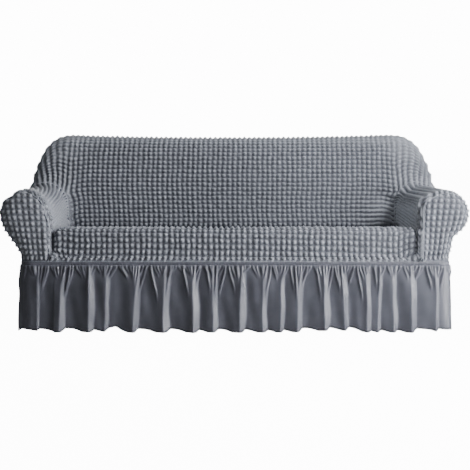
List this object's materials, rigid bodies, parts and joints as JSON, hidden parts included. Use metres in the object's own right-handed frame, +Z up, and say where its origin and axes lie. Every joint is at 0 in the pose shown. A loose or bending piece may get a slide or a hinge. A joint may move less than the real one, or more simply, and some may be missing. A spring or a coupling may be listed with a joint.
{
  "type": "sofa slipcover",
  "caption": "Stretch slipcover for a roll-arm three-seat sofa, in its fitted shape: puffed bubble cloth over back, seat and arms, with a plain gathered skirt",
  "frame": {"origin": "on the floor, under the middle of the cover's bounding box", "axes": "X along the sofa, from its left arm in a front view to its right arm; Y from front to back; Z up"},
  "size_m": [2.1378, 0.8976, 0.8991],
  "materials": {
    "bubble_cloth": "matt slate blue-grey stretch seersucker, puffed into small square bubbles, with a soft silvery sheen",
    "plain_cloth": "smooth slate blue-grey polyester plain weave with a faint sheen"
  },
  "bodies": {
    "root": {"back_inside": "bubble_cloth", "back_outside": "bubble_cloth", "seat": "bubble_cloth", "arm_left": "bubble_cloth", "arm_right": "bubble_cloth", "arm_front_left": "bubble_cloth", "arm_front_right": "bubble_cloth", "skirt_band": "plain_cloth", "skirt_front": "plain_cloth", "skirt_left": "plain_cloth", "skirt_right": "plain_cloth", "skirt_back": "plain_cloth"}
  },
  "joints": []
}
